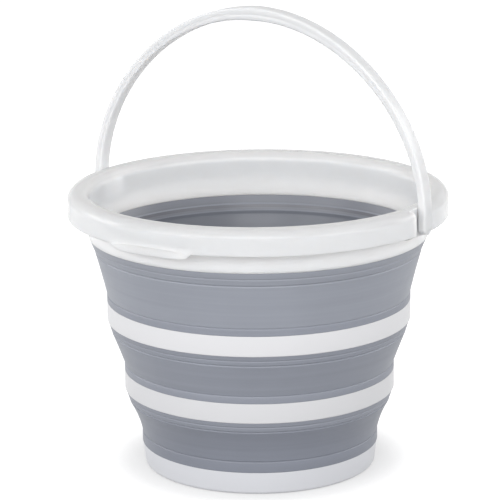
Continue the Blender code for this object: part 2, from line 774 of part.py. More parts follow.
def make_rim_stage(parts, tools):
    """The rim, its flange with the pockets and finger lip, and the soft collar under it."""
    collar = collar_side(
        UPPER_COLLAR_BOTTOM, UPPER_COLLAR_HEIGHT, UPPER_COLLAR_TOP_RADIUS, UPPER_COLLAR_SPREAD
    )
    sleeve = [(UPPER_COLLAR_TOP_RADIUS - SLEEVE_WALL, SKIRT_BOTTOM - SEAT_GAP), *collar]
    turned("rim_sleeve", sleeve, parts, GREY_RUBBER)
    turned("rim", rim_profile(), parts, WHITE_PLASTIC)
    flange = turned("rim_flange", flange_profile(), parts, WHITE_PLASTIC)
    make_pockets(flange, tools)
    make_finger_lip(flange, tools)


def build():
    """Makes every piece, then hangs the moving ones on their axes."""
    clear_scene()
    parts = new_collection("collapsible_bucket")
    tools = new_collection("cutters")
    make_base(parts)
    make_lower_stage(parts)
    make_upper_stage(parts)
    make_rim_stage(parts, tools)
    make_handle(parts, tools)
    for item in list(parts.objects):
        settled(item)

    lower_stage = body_empty("lower_stage", LOWER_RING_BOTTOM, None, parts)
    upper_stage = body_empty("upper_stage", UPPER_RING_BOTTOM, lower_stage, parts)
    rim_stage = body_empty("rim_stage", SKIRT_BOTTOM, upper_stage, parts)
    handle_pivot = body_empty("handle_pivot", PIVOT_HEIGHT, rim_stage, parts)
    carried = {
        lower_stage: ("lower_ring", "lower_sleeve"),
        upper_stage: ("upper_ring", "upper_sleeve"),
        rim_stage: ("rim", "rim_flange", "rim_sleeve"),
        handle_pivot: ("handle",),
    }
    for body, names in carried.items():
        for name in names:
            on_axis(parts.objects[name], body)


build()
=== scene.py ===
"""Collapsible camp bucket: fine surfaces, finishes, studio light and camera.

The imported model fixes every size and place, in metres. Each class below is one moulding of the
bucket. It builds a smooth mesh in the room of the solids that it stands for, and dresses it.
"""

import logging
from dataclasses import dataclass, replace
from enum import Enum
from math import atan2, cos, hypot, pi, radians, sin
from typing import Callable, Mapping, Sequence

import bmesh
import bpy
from mathutils import Matrix, Vector


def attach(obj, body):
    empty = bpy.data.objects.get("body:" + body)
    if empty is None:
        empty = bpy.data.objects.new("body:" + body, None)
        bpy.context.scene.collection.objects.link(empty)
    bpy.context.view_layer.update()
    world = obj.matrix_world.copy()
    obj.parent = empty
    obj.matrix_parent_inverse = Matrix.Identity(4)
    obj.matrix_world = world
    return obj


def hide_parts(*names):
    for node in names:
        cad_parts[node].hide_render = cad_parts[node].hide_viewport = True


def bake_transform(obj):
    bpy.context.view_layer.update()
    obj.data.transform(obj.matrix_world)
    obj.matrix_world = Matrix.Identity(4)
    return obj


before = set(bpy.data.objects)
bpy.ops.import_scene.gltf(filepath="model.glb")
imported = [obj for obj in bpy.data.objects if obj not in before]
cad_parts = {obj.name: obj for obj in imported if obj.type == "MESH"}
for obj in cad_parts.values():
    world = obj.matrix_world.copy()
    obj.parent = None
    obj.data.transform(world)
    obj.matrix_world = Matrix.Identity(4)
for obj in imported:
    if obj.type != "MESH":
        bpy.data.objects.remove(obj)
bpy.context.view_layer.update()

MM = 0.001
WELD = 0.002 * MM
PIN_SEGMENTS = 48
LOG = logging.getLogger("camp_bucket")

Point = tuple[float, float]
# A corner is (radius, height), or (radius, height, the fillet that it is rounded by).
Corner = tuple[float, ...]
Place = tuple[float, float, float]
Colour = tuple[float, float, float]
Item = bpy.types.Object
Material = bpy.types.Material


class Body(Enum):
    """The bodies that the pieces ride on."""

    BASE = "base"
    LOWER = "lower_stage"
    UPPER = "upper_stage"
    RIM = "rim_stage"
    BAIL = "bail"


class Cut(Enum):
    """What a Boolean does with its second shape."""

    JOIN = "UNION"
    TAKE_AWAY = "DIFFERENCE"
    KEEP_COMMON = "INTERSECT"


def node_operator(
    operation: str, swapped: bool = False
) -> "Callable[[Socket, Socket | float], Socket]":
    """An operator for Socket.

    Args:
        operation: The Math node's operation.
        swapped: Whether the Socket stands on the operator's right side.

    Returns:
        The method that adds the node.
    """

    def apply(socket: "Socket", other: "Socket | float") -> "Socket":
        """The Math node's result."""
        pair = (other, socket) if swapped else (socket, other)
        return socket.graph.math(operation, *pair)

    return apply


class Socket:
    """A node's socket. Python's operators on it add Math nodes to the same graph."""

    def __init__(self, graph: "Graph", socket: bpy.types.NodeSocket) -> None:
        """Wraps a socket of a graph."""
        self.graph = graph
        self.socket = socket

    __add__, __radd__ = node_operator("ADD"), node_operator("ADD", swapped=True)
    __sub__, __rsub__ = node_operator("SUBTRACT"), node_operator("SUBTRACT", swapped=True)
    __mul__, __truediv__ = node_operator("MULTIPLY"), node_operator("DIVIDE")
    __mod__ = node_operator("MODULO")


class Graph:
    """Adds nodes to a node tree."""

    def __init__(self, tree: bpy.types.NodeTree) -> None:
        """Wraps a node tree."""
        self.tree = tree

    def add(
        self, kind: str, inputs: Mapping[str | int, object] | None = None,
        output: str | int | None = None, **settings: object,
    ) -> "Socket | bpy.types.Node":
        """Adds one node.

        Args:
            kind: The node's type.
            inputs: Values or Sockets for its inputs, by name or number.
            output: The output to return, by name or number.
            settings: The node's own settings.

        Returns:
            The Socket of that output, or the node itself where no output is named.
        """
        node = self.tree.nodes.new(kind)
        for name, value in settings.items():
            setattr(node, name, value)
        for key, value in (inputs or {}).items():
            if isinstance(value, Socket):
                self.tree.links.new(value.socket, node.inputs[key])
            else:
                node.inputs[key].default_value = value
        return node if output is None else Socket(self, node.outputs[output])

    def math(self, operation: str, *values: "Socket | float") -> Socket:
        """The result of a Math node that is given these values."""
        return self.add("ShaderNodeMath", dict(enumerate(values)), 0, operation=operation)

    def noise(self, where: Socket, scale: float, detail: float, roughness: float = 0.5) -> Socket:
        """A noise pattern, from 0 to 1."""
        inputs = {"Vector": where, "Scale": scale, "Detail": detail, "Roughness": roughness}
        return self.add("ShaderNodeTexNoise", inputs, "Fac")

    def stretched(self, where: Socket, scale: Place) -> Socket:
        """A place with each axis scaled by its own number."""
        return self.add("ShaderNodeMapping", {"Vector": where, "Scale": scale}, "Vector")

    def coordinate(self, vector: Socket, axis: str) -> Socket:
        """One coordinate of a vector."""
        return self.add("ShaderNodeSeparateXYZ", {"Vector": vector}, axis)

    def ramp(
        self, value: Socket, ends: Point, results: Point = (0.0, 1.0), curve: str = "LINEAR"
    ) -> Socket:
        """Maps a value from one range to another and clamps it there.

        Args:
            value: The value.
            ends: Its two ends.
            results: What they are mapped to.
            curve: The interpolation between them.

        Returns:
            The mapped value.
        """
        inputs = {"Value": value, "From Min": ends[0], "From Max": ends[1],
                  "To Min": results[0], "To Max": results[1]}
        return self.add("ShaderNodeMapRange", inputs, 0, interpolation_type=curve)

    def mixed(self, factor: Socket, first: object, second: object, blend: str = "MIX") -> Socket:
        """Mixes two colours.

        Args:
            factor: The second colour's share.
            first: A Socket, or a colour with its alpha.
            second: The same for the other colour.
            blend: How they are mixed.

        Returns:
            The mixed colour.
        """
        inputs = {"Factor": factor, "A": first, "B": second}
        node = self.add("ShaderNodeMix", inputs, data_type="RGBA", blend_type=blend)
        return Socket(self, next(out for out in node.outputs if out.type == "RGBA"))


def opaque(colour: Sequence[float], level: float = 1.0) -> tuple[float, ...]:
    """A colour times a level, with full alpha."""
    return (*(channel * level for channel in colour), 1.0)


class TurningTree:
    """Geometry Nodes that turn an outline of (radius, height) points about Z."""

    def __init__(self) -> None:
        """Builds the tree: a grid of columns round the axis, each placed on the outline."""
        tree = bpy.data.node_groups.new("turned_moulding", "GeometryNodeTree")
        new_socket = tree.interface.new_socket
        kinds = {"Outline": "Geometry", "Segments": "Int", "Outline Points": "Int", "Finish": "Material"}
        self.inputs = {
            name: new_socket(name, in_out="INPUT", socket_type="NodeSocket" + kind).identifier
            for name, kind in kinds.items()
        }
        new_socket("Moulding", in_out="OUTPUT", socket_type="NodeSocketGeometry")
        self.tree = tree
        graph = Graph(tree)
        given = graph.add("NodeGroupInput")
        outline, segments, count, finish = (Socket(graph, given.outputs[i]) for i in range(4))
        rows, columns = segments + 1, count + 1
        body = graph.add("GeometryNodeMeshGrid", {"Vertices X": rows, "Vertices Y": columns}, "Mesh")
        index = graph.add("GeometryNodeInputIndex", output="Index")
        angle = graph.math("FLOOR", index / columns) * (2 * pi) / segments
        place = graph.add("GeometryNodeInputPosition", output="Position")
        sample = {"Geometry": outline, "Value": place, "Index": (index % columns) % count}
        on_outline = graph.add(
            "GeometryNodeSampleIndex", sample, "Value", data_type="FLOAT_VECTOR", domain="POINT"
        )
        radius, height = graph.coordinate(on_outline, "X"), graph.coordinate(on_outline, "Z")
        across, along = radius * graph.math("COSINE", angle), radius * graph.math("SINE", angle)
        turned = graph.add("ShaderNodeCombineXYZ", {"X": across, "Y": along, "Z": height}, "Vector")
        for kind, inputs in (
            ("GeometryNodeSetPosition", {"Position": turned}),
            ("GeometryNodeMergeByDistance", {"Distance": WELD / 2}),
            ("GeometryNodeRealizeInstances", {}),
            ("GeometryNodeSetMaterial", {"Material": finish}),
        ):
            body = graph.add(kind, {"Geometry": body, **inputs}, "Geometry")
        graph.add("NodeGroupOutput", {"Moulding": body})

    def turn(
        self, name: str, outline: Sequence[Point], finish: Material, segments: int
    ) -> Item:
        """Turns an outline into a plain mesh object.

        Args:
            name: The new object's name.
            outline: A closed ring of (radius, height) points.
            finish: The material of the result.
            segments: Steps round the axis.

        Returns:
            The turned object, with its faces outwards.
        """
        mesh = bpy.data.meshes.new(name + "_outline")
        mesh.from_pydata([(radius, 0.0, height) for radius, height in outline], [], [])
        holder = linked(name + "_outline", mesh)
        nodes = holder.modifiers.new("Turn", "NODES")
        nodes.node_group = self.tree
        nodes[self.inputs["Segments"]] = segments
        nodes[self.inputs["Outline Points"]] = len(outline)
        nodes[self.inputs["Finish"]] = finish
        return smoothed(plain_copy(holder, name, [finish]))


def linked(name: str, data: bpy.types.ID) -> Item:
    """Puts data into the scene as a new object."""
    item = bpy.data.objects.new(name, data)
    bpy.context.scene.collection.objects.link(item)
    return item


def from_shape(name: str, shape: bmesh.types.BMesh) -> Item:
    """Turns a shape into a new object in the scene.

    Args:
        name: The object's name.
        shape: The shape, which is freed.

    Returns:
        The new object.
    """
    mesh = bpy.data.meshes.new(name)
    shape.to_mesh(mesh)
    shape.free()
    return linked(name, mesh)


def plain_copy(source: Item, name: str, finishes: Sequence[Material]) -> Item:
    """Replaces an object and its modifiers by the plain mesh that they make.

    Args:
        source: The object, which is removed.
        name: The new object's name.
        finishes: The new object's materials.

    Returns:
        The new object, at the origin.
    """
    bpy.context.view_layer.update()
    evaluated = source.evaluated_get(bpy.context.evaluated_depsgraph_get())
    mesh = bpy.data.meshes.new_from_object(evaluated)
    mesh.transform(source.matrix_world)
    bpy.data.objects.remove(source, do_unlink=True)
    mesh.name = name
    mesh.materials.clear()
    for finish in finishes:
        mesh.materials.append(finish)
    return linked(name, mesh)


def smoothed(item: Item, sharp_angle: float = radians(38.0)) -> Item:
    """Closes seams, points the faces outwards and shades the round surfaces smooth.

    Args:
        item: The mesh object.
        sharp_angle: Edges that turn by more than this stay crisp.

    Returns:
        The same object.
    """
    shape = bmesh.new()
    shape.from_mesh(item.data)
    bmesh.ops.remove_doubles(shape, verts=shape.verts, dist=WELD)
    bmesh.ops.dissolve_degenerate(shape, edges=shape.edges, dist=WELD)
    loose = [edge for edge in shape.edges if not edge.link_faces]
    bmesh.ops.delete(shape, geom=loose, context="EDGES")
    bmesh.ops.recalc_face_normals(shape, faces=shape.faces)
    shape.to_mesh(item.data)
    shape.free()
    item.data.polygons.foreach_set("material_index", [0] * len(item.data.polygons))
    item.data.shade_smooth()
    item.data.set_sharp_from_angle(angle=sharp_angle)
    return item


def lofted(name: str, sections: Sequence[Sequence[Place]]) -> Item:
    """Joins closed rings of points into one closed skin with flat ends.

    Args:
        name: The object's name.
        sections: Rings with the same number of points each.

    Returns:
        The closed object.
    """
    shape = bmesh.new()
    rings = [[shape.verts.new(point) for point in section] for section in sections]
    for ring, following in zip(rings, rings[1:]):
        for index in range(len(ring)):
            after = (index + 1) % len(ring)
            shape.faces.new((ring[index], ring[after], following[after], following[index]))
    shape.faces.new(rings[0])
    shape.faces.new(list(reversed(rings[-1])))
    bmesh.ops.remove_doubles(shape, verts=shape.verts, dist=WELD)
    bmesh.ops.recalc_face_normals(shape, faces=shape.faces)
    return from_shape(name, shape)


def box_between(low: Place, high: Place) -> Item:
    """A box between two opposite corners, to cut or join with.

    Args:
        low: One corner.
        high: The corner opposite.

    Returns:
        The box.
    """
    shape = bmesh.new()
    bmesh.ops.create_cube(shape, size=1.0)
    size, middle = Vector(high) - Vector(low), (Vector(high) + Vector(low)) / 2
    bmesh.ops.scale(shape, vec=[abs(value) for value in size], verts=shape.verts)
    bmesh.ops.translate(shape, vec=middle, verts=shape.verts)
    return from_shape("block", shape)


def pin_along_x(radius: float, start: float, end: float, height: float) -> Item:
    """A round pin along X on the bucket's middle plane, to cut or join with.

    Args:
        radius: Its radius.
        start: Where it starts along X.
        end: Where it ends along X.
        height: Its axis's height.

    Returns:
        The pin.
    """
    shape = bmesh.new()
    bmesh.ops.create_cone(
        shape, cap_ends=True, segments=PIN_SEGMENTS, radius1=radius, radius2=radius, depth=abs(end - start),
        matrix=Matrix.Translation(((start + end) / 2, 0, height)) @ Matrix.Rotation(pi / 2, 4, "Y"),
    )
    return from_shape("pin", shape)


def combined(item: Item, other: Item, cut: Cut) -> Item:
    """Applies an exact Boolean and removes the second object.

    Args:
        item: The object to change, which is replaced.
        other: The object to join, to take away or to share room with.
        cut: What is done with it.

    Returns:
        The resulting object.
    """
    change = item.modifiers.new("Combine", "BOOLEAN")
    change.operation = cut.value
    change.solver = "EXACT"
    change.object = other
    made = plain_copy(item, item.name, list(item.data.materials))
    bpy.data.objects.remove(other, do_unlink=True)
    return made


def at_azimuth(outline: Sequence[Point], azimuth: float) -> list[Place]:
    """An outline of (radius, height) points, as it stands at an azimuth round Z."""
    return [(radius * cos(azimuth), radius * sin(azimuth), height) for radius, height in outline]


def arc(centre: Point, radius: float, start: float, end: float, steps: int) -> list[Point]:
    """Points round an arc, in angles from the outward radius towards up."""
    angles = [start + (end - start) * step / steps for step in range(steps + 1)]
    return [(centre[0] + radius * cos(angle), centre[1] + radius * sin(angle)) for angle in angles]


def rounded(corners: Sequence[Corner], steps: int = 4) -> list[Point]:
    """Rounds the corners of a closed outline.

    Args:
        corners: The corners in order. One on the axis stays sharp.
        steps: Steps round each corner.

    Returns:
        The outline's points.
    """
    nearly_straight, side_share = radians(88), 0.48
    made: list[Point] = []
    for number, corner in enumerate(corners):
        radius, height, fillet = (*corner, 0.0)[:3]
        here = Vector((radius, height))
        ways = []
        for other in (corners[number - 1], corners[(number + 1) % len(corners)]):
            way = Vector(other[:2]) - here
            ways.append((way.normalized(), way.length * side_share))
        (back, back_room), (ahead, ahead_room) = ways
        opening = back.angle(ahead) / 2
        if fillet <= 0 or radius <= 0 or opening > nearly_straight:
            made.append(tuple(here))
            continue
        reach = min(fillet * cos(opening) / sin(opening), back_room, ahead_room)
        for step in range(steps + 1):
            share = step / steps
            bend = back * reach * (1 - share) ** 2 + ahead * reach * share**2
            made.append(tuple(here + bend))
    return made


@dataclass(frozen=True)
class Finish:
    """What a moulding's surface looks like. A kind of finish adds its own nodes."""

    name: str
    colour: Colour
    roughness: float
    tone_spread: float
    roughness_spread: float
    grain_size: float
    grain_depth: float
    specular: float = 0.5
    drift_scale: float = 14.0
    drift_detail: float = 3.0
    wear_scale: float = 90.0
    wear_detail: float = 4.0
    grain_detail: float = 2.0
    grain_sharpness: float = 0.6
    # The tints below paint light and shade into the colour: the inner sides are made lighter or darker,
    # fading darker towards their bottom between two levels, and the sides that face up get a painted tone
    # of their own.
    inner_range: Point = (0.05, -0.3)
    inner_painted_light_shade: Colour = (1.0, 1.0, 1.0)
    inner_painted_shade_low: float = 1.0
    inner_painted_shade_levels: Point = (0.0, 1.0)
    crown_range: Point = (0.28, 0.6)
    crown_painted_light_shade: float = 1.0
    slot: str = "white_plastic"

    def material(self) -> Material:
        """Builds the material: a tone that drifts, worn-in gloss, a fine moulded grain, and painted light
        and shade on the inner sides and on the sides that face up.
        """
        material = bpy.data.materials.new(self.name)
        material.use_nodes = True
        graph = Graph(material.node_tree)
        shader = material.node_tree.nodes["Principled BSDF"]
        where = graph.add("ShaderNodeTexCoord", output="Object")
        drift = graph.noise(where, self.drift_scale, detail=self.drift_detail)
        wear = graph.noise(where, self.wear_scale, detail=self.wear_detail)
        dark, light = (opaque(self.colour, 1 + way * self.tone_spread) for way in (-1, 1))
        colour = self.shaded(graph, where, graph.mixed(self.tone(graph, where, drift), dark, light))
        rough = self.sheen(graph, where) + (wear - 0.5) * (2 * self.roughness_spread)
        relief = {"Strength": 1.0, "Distance": self.grain_depth, "Height": self.grain(graph, where)}
        bump = graph.add("ShaderNodeBump", relief, "Normal")
        for name, value in (("Base Color", colour), ("Roughness", rough), ("Normal", bump)):
            material.node_tree.links.new(value.socket, shader.inputs[name])
        shader.inputs["Specular IOR Level"].default_value = self.specular
        self.finish_shader(shader)
        material.diffuse_color = opaque(self.colour)
        return material

    def tone(self, graph: Graph, where: Socket, drift: Socket) -> Socket:
        """How far the colour is from dark to light, from 0 to 1."""
        return drift

    def inside(self, graph: Graph, where: Socket) -> Socket:
        """Finds the sides that face the bucket's axis.

        Args:
            graph: The material's graph.
            where: The place on the object.

        Returns:
            1 on those sides and 0 on the others, as a Socket.
        """
        outward = graph.stretched(where, (1.0, 1.0, 0.0))
        outward = graph.add("ShaderNodeVectorMath", {0: outward}, 0, operation="NORMALIZE")
        pair = {0: outward, 1: graph.add("ShaderNodeNewGeometry", output="Normal")}
        facing = graph.add("ShaderNodeVectorMath", pair, "Value", operation="DOT_PRODUCT")
        return graph.ramp(facing, self.inner_range)

    def facing_up(self, graph: Graph) -> Socket:
        """1 on the sides that face up, and 0 on the others."""
        normal = graph.add("ShaderNodeNewGeometry", output="Normal")
        return graph.ramp(graph.coordinate(normal, "Z"), self.crown_range)

    def shaded(self, graph: Graph, where: Socket, colour: Socket) -> Socket:
        """Paints light and shade into the colour of the inner sides, darker towards their bottom, and into
        the colour of the sides that face up.

        Args:
            graph: The material's graph.
            where: The place on the object.
            colour: The colour of the other sides.

        Returns:
            The final colour.
        """
        crown = self.facing_up(graph)
        rise = graph.ramp(graph.coordinate(where, "Z"), self.inner_painted_shade_levels)
        low, high = opaque(self.inner_painted_light_shade, self.inner_painted_shade_low), opaque(self.inner_painted_light_shade)
        inner = graph.mixed(rise, low, high)
        # Painted light and shade on the inner sides, then on the sides that face up.
        with_painted_inner_light = graph.mixed(self.inside(graph, where) * (1 - crown), colour, inner, "MULTIPLY")
        return graph.mixed(crown, with_painted_inner_light, opaque((self.crown_painted_light_shade,) * 3), "MULTIPLY")

    def sheen(self, graph: Graph, where: Socket) -> "Socket | float":
        """The roughness before its spread. A kind of finish may change it too."""
        return self.roughness

    def grain(self, graph: Graph, where: Socket) -> Socket:
        """The height of the fine grain, from 0 to 1."""
        scale = 1 / self.grain_size
        return graph.noise(where, scale, detail=self.grain_detail, roughness=self.grain_sharpness)

    def finish_shader(self, shader: bpy.types.Node) -> None:
        """Sets what is the same all over the surface."""


@dataclass(frozen=True)
class MilkyPlastic(Finish):
    """White polypropylene: satin, and where it glows light passes into the wall."""

    roughness: float = 0.34
    tone_spread: float = 0.006
    roughness_spread: float = 0.02
    grain_size: float = 5.0 * MM
    grain_depth: float = 0.01 * MM
    glow: float = 0.0
    glow_reach: float = 14.0 * MM
    glow_colour: Colour = (1.0, 0.95, 0.9)

    def finish_shader(self, shader: bpy.types.Node) -> None:
        """Lets a little light into the wall."""
        shader.inputs["Subsurface Weight"].default_value = self.glow
        shader.inputs["Subsurface Radius"].default_value = self.glow_colour
        shader.inputs["Subsurface Scale"].default_value = self.glow_reach


@dataclass(frozen=True)
class SoftRubber(Finish):
    """Grey elastomer: satin, with faint flow lines that run round the wall."""

    roughness: float = 0.44
    tone_spread: float = 0.16
    roughness_spread: float = 0.05
    grain_size: float = 0.9 * MM
    grain_depth: float = 0.03 * MM
    grain_share: float = 0.4
    ripple_share: float = 1.6
    ripple_scale: Place = (10.0, 10.0, 220.0)
    flow_lines: float = 0.5
    flow_scale: Place = (5.0, 5.0, 330.0)
    flow_detail: float = 3.0
    # The inner sides are painted darker: painted shade.
    inner_painted_light_shade: Colour = (0.48, 0.49, 0.51)
    inner_gloss: float = 0.08
    slot: str = "grey_rubber"

    def tone(self, graph: Graph, where: Socket, drift: Socket) -> Socket:
        """Mixes the slow drift with streaks that follow the height."""
        stretched = graph.stretched(where, self.flow_scale)
        streaks = graph.noise(stretched, scale=1.0, detail=self.flow_detail)
        return drift * (1 - self.flow_lines) + streaks * self.flow_lines

    def sheen(self, graph: Graph, where: Socket) -> Socket:
        """Keeps the inner sides glossier than the handled outside."""
        return self.roughness - self.inside(graph, where) * self.inner_gloss

    def grain(self, graph: Graph, where: Socket) -> Socket:
        """A fine matt grain with shallow ripples from the mould."""
        fine = super().grain(graph, where)
        ripple = graph.noise(graph.stretched(where, self.ripple_scale), scale=1.0, detail=1.0)
        return fine * self.grain_share + ripple * self.ripple_share


# The rim's inner sides are painted lighter, a painted light, which fades darker towards their bottom, a
# painted shade; its crest, which faces up, is painted darker, a painted shade.
RIM_WHITE = MilkyPlastic(
    "white_rim_plastic", (0.786, 0.782, 0.783), roughness=0.2, specular=0.35, glow=1.0,
    inner_painted_light_shade=(1.27, 1.275, 1.275), inner_painted_shade_low=0.68, inner_painted_shade_levels=(203.0 * MM, 220.0 * MM),
    crown_painted_light_shade=0.8, crown_range=(0.05, 0.35),
)
# The rings and the base are the same white plastic as the rim, painted darker the lower they stand: painted
# shade.
UPPER_RING_WHITE = MilkyPlastic("white_upper_ring_plastic", (0.61, 0.61, 0.626))
LOWER_RING_WHITE = MilkyPlastic("white_lower_ring_plastic", (0.56, 0.561, 0.576))
BASE_WHITE = MilkyPlastic("white_base_plastic", (0.563, 0.571, 0.6))
# The handle is the same white plastic, painted darker than the rim, a painted shade; its inner sides and
# the sides that face up are painted slightly lighter, a painted light.
HANDLE_WHITE = MilkyPlastic(
    "white_handle_plastic", (0.6, 0.607, 0.618), glow=0.85, inner_painted_light_shade=(1.09, 1.09, 1.09),
    crown_painted_light_shade=1.04,
)
# The grey walls are one elastomer, painted lighter towards the top and darker towards the bottom: painted
# light and shade. Their inner sides are painted darker: painted shade.
GREY = SoftRubber("grey_elastomer", (0.21, 0.224, 0.262))
LOWER_GREY = SoftRubber("grey_lower_elastomer", (0.173, 0.186, 0.222))
UPPER_GREY = SoftRubber(
    "grey_upper_elastomer", (0.248, 0.263, 0.302), inner_painted_light_shade=(0.56, 0.57, 0.59)
)
COLLAR_GREY = replace(UPPER_GREY, name="grey_collar_elastomer", inner_painted_light_shade=(0.5, 0.49, 0.5))

# The fillets where two pieces meet, of a bend, of a fine, a plain and a well seen edge, and the play
# between a ring and its sleeve.
MEETING_FILLET = 0.1 * MM
BEND_FILLET = 1.5 * MM
FINE_FILLET = 0.2 * MM
EDGE_FILLET = 0.3 * MM
SEEN_FILLET = 0.35 * MM
PLAY = 0.05 * MM


@dataclass
class Moulding:
    """One moulding of the bucket."""

    name: str
    body: Body
    stands_for: tuple[str, ...]
    finish: Finish
    segments: int = 256

    def build(self, lathe: TurningTree, finish: Material) -> Item:
        """Makes the mesh object."""
        return lathe.turn(self.name, self.outline(), finish, self.segments)

    def outline(self) -> list[Point]:
        """The turned outline, as a closed ring of (radius, height) points."""
        raise NotImplementedError

    def attach(self, item: Item) -> None:
        """Makes the piece ride on its body."""
        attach(item, self.body.value)

    def dress(self, item: Item) -> None:
        """Ties the piece to the model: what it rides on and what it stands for."""
        self.attach(item)
        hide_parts(*self.stands_for)


@dataclass(frozen=True)
class Crease:
    """A groove where the soft wall folds."""

    depth: float = 0.55 * MM
    half_width: float = 0.95 * MM
    fillet: float = 0.7 * MM

    def upper_half(self, radius: float, level: float) -> list[Corner]:
        """The groove at the top of a wall of this radius, from its floor down to the wall."""
        return [
            (radius - self.depth, level, MEETING_FILLET),
            (radius, level - self.half_width, self.fillet),
        ]


@dataclass(frozen=True)
class Bead:
    """A low ridge round the inner side of the soft wall, near a crease."""

    depth: float = 0.32 * MM
    upper_side: float = 1.2 * MM
    lower_side: float = 2.6 * MM
    fillet: float = 0.3 * MM


@dataclass
class BasePan(Moulding):
    """The white base: a tapered band, a floor and a foot ring."""

    top_radius: float = 100.8 * MM
    height: float = 19.3 * MM
    taper: float = 2.3 * MM
    edge_radius: float = 3.0 * MM
    inner_radius: float = 96.2 * MM
    rebate_radius: float = 98.3 * MM
    rebate_floor: float = 12.0 * MM
    floor_top: float = 4.6 * MM
    foot_inner: float = 82.8 * MM
    foot_height: float = 2.0 * MM
    floor_fillet: float = 3.0 * MM
    top_fillet: float = 0.5 * MM
    foot_fillet: float = 0.6 * MM
    corner_steps: int = 6

    def outline(self) -> list[Point]:
        """The floor, the rebate for the soft cuff, the band and the foot."""
        return rounded([
            (0.0, self.floor_top),
            (self.inner_radius, self.floor_top, self.floor_fillet),
            (self.inner_radius, self.rebate_floor, FINE_FILLET),
            (self.rebate_radius, self.rebate_floor, FINE_FILLET),
            (self.rebate_radius, self.height, EDGE_FILLET),
            (self.top_radius, self.height, self.top_fillet),
            (self.top_radius - self.taper, 0.0, self.edge_radius),
            (self.foot_inner, 0.0, EDGE_FILLET),
            (self.foot_inner - self.foot_height, self.foot_height, self.foot_fillet),
            (0.0, self.foot_height),
        ], self.corner_steps)


@dataclass
class BaseCuff(Moulding):
    """The soft cuff that stands on the base, with its tongue inside the band."""

    radius: float = 101.1 * MM
    wall: float = 1.8 * MM
    foot: float = 19.3 * MM
    top: float = 28.7 * MM
    tongue_inner: float = 96.2 * MM
    tongue_bottom: float = 12.3 * MM
    step_height: float = 3.0 * MM
    lift: float = 0.1 * MM
    crease: Crease = Crease()

    def outline(self) -> list[Point]:
        """The cuff's outside with half a crease at its top, then the tongue."""
        tongue_outer = self.tongue_inner + self.wall
        return rounded([
            (self.radius - self.wall, self.top),
            *self.crease.upper_half(self.radius, self.top),
            (self.radius, self.foot + self.lift, SEEN_FILLET),
            (tongue_outer, self.foot + self.lift, MEETING_FILLET),
            (tongue_outer, self.tongue_bottom, EDGE_FILLET),
            (self.tongue_inner, self.tongue_bottom, EDGE_FILLET),
            (self.tongue_inner, self.foot, BEND_FILLET),
            (self.radius - self.wall, self.foot + self.step_height, BEND_FILLET),
        ])


@dataclass
class Fold(Moulding):
    """A soft wall between two creases. On the real bucket it turns inside out as the stage above it drops;
    this mesh keeps one shape.
    """

    above: Body = Body.LOWER
    bottom: float = 0.0
    top: float = 0.0
    bottom_radius: float = 0.0
    spread: float = 0.0
    bow: float = 0.0
    wall: float = 1.5 * MM
    steps: int = 28
    crease: Crease = Crease()
    bead: Bead = Bead()

    def outside(self) -> list[Point]:
        """The slightly bowed outside between the creases, from the bottom up."""
        crease = self.crease
        span = self.top - self.bottom - 2 * crease.half_width
        made = []
        for step in range(self.steps + 1):
            share = step / self.steps
            bowed = share - self.bow * share * (1 - share)
            level = self.bottom + crease.half_width + span * share
            made.append((self.bottom_radius + self.spread * bowed, level))
        return made

    def outline(self) -> list[Point]:
        """The wall's outside from the top crease down, then its inside with the bead."""
        crease, bead, outer = self.crease, self.bead, self.outside()
        top_radius = self.bottom_radius + self.spread
        corners = [
            (top_radius - self.wall, self.top),
            (top_radius - crease.depth, self.top, MEETING_FILLET),
            (*outer[-1], crease.fillet),
            *reversed(outer[1:-1]),
            (*outer[0], crease.fillet),
            (self.bottom_radius - crease.depth, self.bottom, MEETING_FILLET),
            (self.bottom_radius - self.wall, self.bottom),
        ]
        bead_height = bead.upper_side + bead.lower_side
        inner = [(radius - self.wall, level) for radius, level in outer[1:-1]
                 if level < self.top - bead_height]
        steepness = (top_radius - self.wall - inner[-1][0]) / (self.top - inner[-1][1])
        corners += inner
        for down, depth in ((bead_height, 0.0), (bead.upper_side, bead.depth)):
            radius = top_radius - self.wall - steepness * down - depth
            corners.append((radius, self.top - down, bead.fillet))
        return rounded(corners)

    def attach(self, item: Item) -> None:
        """Bakes the wall's place into its mesh; the wall rides on no body and does not bend."""
        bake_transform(item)


@dataclass
class Collar:
    """The short cone of a sleeve under a ring or the rim, with a second crease round it."""

    bottom: float
    height: float
    top_radius: float
    spread: float
    crease_share: float = 0.52
    wall: float = 1.8 * MM
    crease: Crease = Crease()

    def corners(self) -> list[Corner]:
        """The outer side from the top down, then the bottom face."""
        crease, low = self.crease, self.top_radius - self.spread
        middle, edge = self.height * self.crease_share, crease.half_width
        made = [(self.top_radius, self.bottom + self.height, FINE_FILLET)]
        for rise, depth in (
            (middle + edge, 0.0), (middle, crease.depth), (middle - edge, 0.0), (edge, 0.0)
        ):
            radius = low + self.spread * rise / self.height - depth
            made.append((radius, self.bottom + rise, crease.fillet))
        made.append((low - crease.depth, self.bottom, MEETING_FILLET))
        made.append((low - self.wall, self.bottom))
        return made


@dataclass(frozen=True)
class Band:
    """The size and the place of a white ring."""

    radius: float = 0.0
    bottom: float = 0.0
    top: float = 0.0
    wall: float = 2.2 * MM


